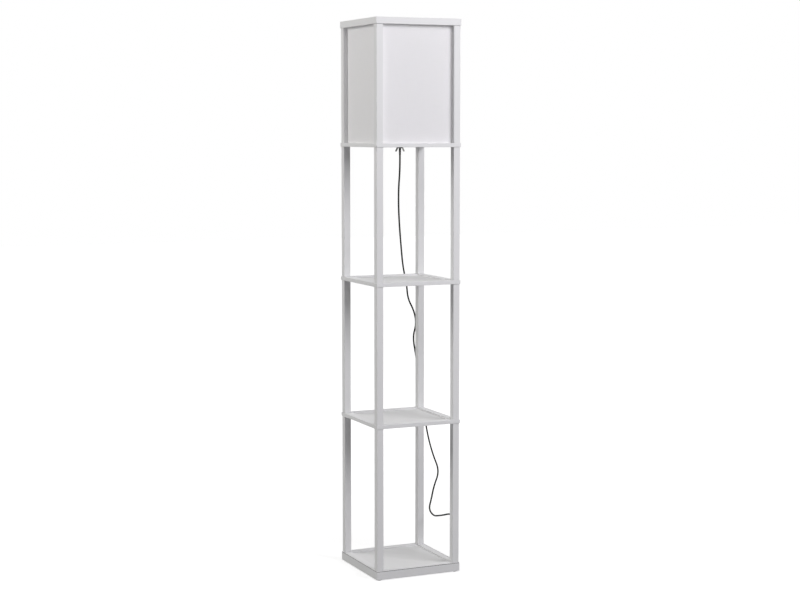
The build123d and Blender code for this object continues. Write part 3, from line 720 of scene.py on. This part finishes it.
holder_black = plastic_finish(
    "lampholder, black moulding", colour=(0.014, 0.014, 0.014), grain_size=0.0011, gloss_loss=0.3, dust=0.25
)
brass = metal_finish("contact brass", (0.78, 0.6, 0.28), (0.45, 0.3, 0.12), gloss_loss=0.22)
spring_steel = metal_finish("spring steel strip", (0.36, 0.36, 0.35), (0.16, 0.15, 0.14), gloss_loss=0.34)
dress("lampholder_cap", holder_black)
dress("lampholder_shell", holder_black)
dress("lampholder_contact", brass)
dress("holder_spring_bracket", spring_steel)

# ---------------------------------------------------------------- plug
# Flat two-pin plug with brass blades.  Its body is soft black PVC like the lead's jacket, and
# is moulded round the blades and the end of the lead in one shot.
plug_black = plastic_finish(
    "plug, moulded black PVC", colour=(0.012, 0.012, 0.0125), grain_size=0.0012, gloss_loss=0.38, dust=0.15
)
dress("plug_body", plug_black)
dress("plug_blades", brass)

# ---------------------------------------------------------------- in-line switch
# Two-part shell of hard black plastic round the lead, held by two screws from below.  A
# glossier rocker tips on the pins that are moulded onto its sides.
switch_black = plastic_finish(
    "switch shell, black moulding",
    colour=(0.01, 0.01, 0.01),
    grain_size=0.001,
    gloss_loss=0.4,
    dust=0.12,
    relief=0.25,
)
rocker_black = plastic_finish(
    "switch rocker, glossy black",
    colour=(0.008, 0.008, 0.008),
    grain_size=0.002,
    gloss_loss=0.16,
    dust=0.05,
    relief=0.04,
)
dress("switch_lower_case", switch_black)
dress("switch_upper_case", switch_black)
dress("switch_rocker", rocker_black)

# ---------------------------------------------------------------- fixings
# Zinc-plated studs hidden in the posts, countersunk screws under the base board and two
# small screws under the switch.
zinc = metal_finish("zinc plating", (0.62, 0.62, 0.6), (0.42, 0.41, 0.38), gloss_loss=0.3)
for fixing in ("tier_studs", "top_studs", "base_screws", "switch_screws"):
    dress(fixing, zinc)

# ---------------------------------------------------------------- bulb
# Globe bulb: opal plastic globe on a white plastic housing, with a rolled aluminium screw
# cap and a soldered tip.
opal, opal_tree, opal_surface = new_finish("opal globe")
opal_light = (0.86, 0.86, 0.85, 1)
opal_dark = (0.82, 0.82, 0.8, 1)
opal_cloud = speckle(opal_tree, object_place(opal_tree), scale=45.0, detail=2.0)
opal_tree.links.new(
    tint(opal_tree, opal_cloud, opal_light, opal_dark), opal_surface.inputs["Base Color"]
)
opal_tree.links.new(
    varied(opal_tree, opal_cloud, spread=0.1, base=0.25), opal_surface.inputs["Roughness"]
)
set_sockets(
    opal_surface,
    {"Subsurface Weight": 0.25, "Subsurface Radius": (1, 1, 1), "Subsurface Scale": 0.004},
)
housing_white = plastic_finish(
    "bulb housing, white plastic", colour=(0.8, 0.8, 0.79), grain_size=0.0008, gloss_loss=0.35, dust=0.05
)
cap_aluminium = metal_finish("rolled aluminium cap", (0.8, 0.8, 0.8), (0.55, 0.54, 0.52), gloss_loss=0.2)
solder = metal_finish("solder tip", (0.6, 0.6, 0.6), (0.3, 0.3, 0.29), gloss_loss=0.35)
dress("bulb_globe", opal)
dress("bulb_housing", housing_white)
dress("bulb_screw_cap", cap_aluminium)
dress("bulb_tip", solder)

# ---------------------------------------------------------------- foot pads
# Discs of grey pressed felt, glued under the four corners of the base apron, so that the lamp
# stands level and doesn't mark the floor.
felt, felt_tree, felt_surface = new_finish("grey felt")
felt_dark = (0.2, 0.2, 0.2, 1)
felt_light = (0.5, 0.5, 0.48, 1)
felt_fibre = speckle(felt_tree, object_place(felt_tree), scale=1900.0, detail=5.0, roughness=0.75)
felt_tree.links.new(
    tint(felt_tree, felt_fibre, felt_dark, felt_light), felt_surface.inputs["Base Color"]
)
add_relief(felt_tree, felt_surface, felt_fibre, strength=0.9, depth=0.0004)
set_sockets(felt_surface, {"Roughness": 0.95, "Sheen Weight": 0.3})
for corner in corners:
    dress(f"foot_pad_{corner}", felt)


# ---------------------------------------------------------------- floor, sky and lamps
# A pale plain floor that keeps the lamp's soft shadow and runs out to white.  The main softbox
# stands high at the front right; weaker ones light the front, the left side and the back.
floor_reach = 14
glow_near = 0.75
glow_per_metre = 0.11
glow_offset = -0.04
glow_added_most = 0.25


def seen_directly(tree):
    """One where the eye, a reflection or a view through glass meets the surface, else nought."""
    ray = tree.nodes.new("ShaderNodeLightPath").outputs
    seen_or_mirrored = calc(tree, "MAXIMUM", ray["Is Camera Ray"], ray["Is Glossy Ray"])
    return calc(tree, "MAXIMUM", seen_or_mirrored, ray["Is Transmission Ray"])


floor_mesh = bmesh.new()
bmesh.ops.create_grid(floor_mesh, x_segments=8, y_segments=8, size=floor_reach)
floor_data = bpy.data.meshes.new("floor")
floor_mesh.to_mesh(floor_data)
floor_mesh.free()
floor_finish, floor_tree, floor_surface = new_finish("pale floor")
set_sockets(
    floor_surface,
    {
        "Base Color": (0.4, 0.4, 0.4, 1),
        "Roughness": 0.9,
        "Specular IOR Level": 0.1,
        "Emission Color": (1, 1, 1, 1),
    },
)
from_lamp = floor_tree.nodes.new("ShaderNodeVectorMath")
from_lamp.operation = "LENGTH"
floor_tree.links.new(object_place(floor_tree), from_lamp.inputs[0])
distance_out = from_lamp.outputs["Value"]
run_out = calc(floor_tree, "MULTIPLY_ADD", distance_out, glow_per_metre, glow_offset, clamp=True)
glow_added = calc(floor_tree, "MINIMUM", run_out, glow_added_most)
glow = calc(floor_tree, "ADD", glow_near, glow_added)
floor_tree.links.new(
    calc(floor_tree, "MULTIPLY", seen_directly(floor_tree), glow), floor_surface.inputs["Emission Strength"]
)
floor_data.materials.append(floor_finish)
floor = bpy.data.objects.new("floor", floor_data)
bpy.context.collection.objects.link(floor)

world = bpy.data.worlds.new("white studio")
world.use_nodes = True
bpy.context.scene.world = world
sky = world.node_tree
sky.nodes.clear()
sky_out = sky.nodes.new("ShaderNodeOutputWorld")
sky_mix = sky.nodes.new("ShaderNodeMixShader")
ambient = sky.nodes.new("ShaderNodeBackground")
set_sockets(ambient, {"Color": (1, 1, 1, 1), "Strength": 0.07})
backdrop = sky.nodes.new("ShaderNodeBackground")
set_sockets(backdrop, {"Color": (1, 1, 1, 1), "Strength": 1.0})
sky.links.new(seen_directly(sky), sky_mix.inputs["Fac"])
sky.links.new(ambient.outputs[0], sky_mix.inputs[1])
sky.links.new(backdrop.outputs[0], sky_mix.inputs[2])
sky.links.new(sky_mix.outputs[0], sky_out.inputs["Surface"])


def softbox(name, place, aimed_at_height, size, watts, colour, mirrored=True):
    data = bpy.data.lights.new(name, "AREA")
    data.shape = "SQUARE"
    data.size = size
    data.energy = watts
    data.color = colour
    light = bpy.data.objects.new(name, data)
    light.location = place
    aim = Vector((0, 0, aimed_at_height)) - Vector(place)
    light.rotation_euler = aim.to_track_quat("-Z", "Y").to_euler()
    light.visible_glossy = mirrored
    bpy.context.collection.objects.link(light)


softbox("high softbox, front right", (1.8, -3.0, 2.6), 1.0, size=2.0, watts=97, colour=(1, 0.99, 1.02))
softbox("near softbox, front left", (-0.4, -1.7, 2.7), 1.2, size=1.2, watts=11.5, colour=(1, 0.99, 1.01))
softbox("side softbox, left", (-3.0, 0.8, 2.4), 1.0, size=2.0, watts=62, colour=(1, 0.992, 0.968))
softbox("back softbox, right", (2.6, 2.4, 1.8), 0.9, size=2.0, watts=28, colour=(1, 1, 1), mirrored=False)
